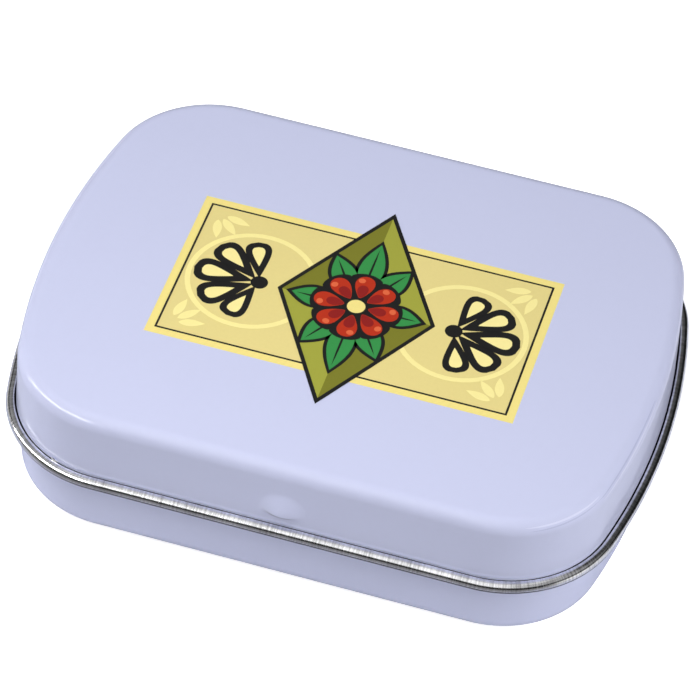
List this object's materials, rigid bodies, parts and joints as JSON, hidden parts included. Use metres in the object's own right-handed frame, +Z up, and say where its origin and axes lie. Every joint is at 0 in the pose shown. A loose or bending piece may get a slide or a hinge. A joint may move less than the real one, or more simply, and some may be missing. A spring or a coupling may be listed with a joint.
{
  "type": "mint tin",
  "caption": "Small hinged tin with rounded corners: a painted tray, a painted lid with a bare rolled bead, and a printed label on the lid.",
  "frame": {"origin": "centre of the tray's flat bottom", "axes": "+X along the tin's long side, -Y is the front with the thumb bump, +Z up through the lid"},
  "size_m": [0.06, 0.0465, 0.0145],
  "materials": {
    "base_paint": "pale lavender enamel on tinplate, silk gloss, bare metal at the curled rim",
    "lid_paint": "pale lavender enamel on tinplate, silk gloss, bare tinplate on the rolled bead",
    "cream_ink": "printed ink under a clear varnish",
    "tan_ink": "printed ink under a clear varnish",
    "black_ink": "printed ink under a clear varnish",
    "olive_ink": "printed ink under a clear varnish",
    "green_ink": "printed ink under a clear varnish",
    "red_ink": "printed ink under a clear varnish"
  },
  "bodies": {
    "tray": {"base": "base_paint"},
    "cover": {"lid": "lid_paint", "print_ground": "cream_ink", "print_keyline": "black_ink", "print_field": "tan_ink", "print_lozenge_edge": "black_ink", "print_lozenge": "olive_ink", "print_leaves": "green_ink", "print_rosette_edge": "black_ink", "print_rosette": "red_ink", "print_fan_left": "black_ink", "print_fan_right": "black_ink"}
  },
  "joints": [
    {"name": "lid_hinge", "type": "hinge", "parent": "tray", "child": "cover", "pos_m": [0, 0.02245, 0.00715], "axis": [-1, 0, 0], "range_deg": [0, 110]}
  ]
}
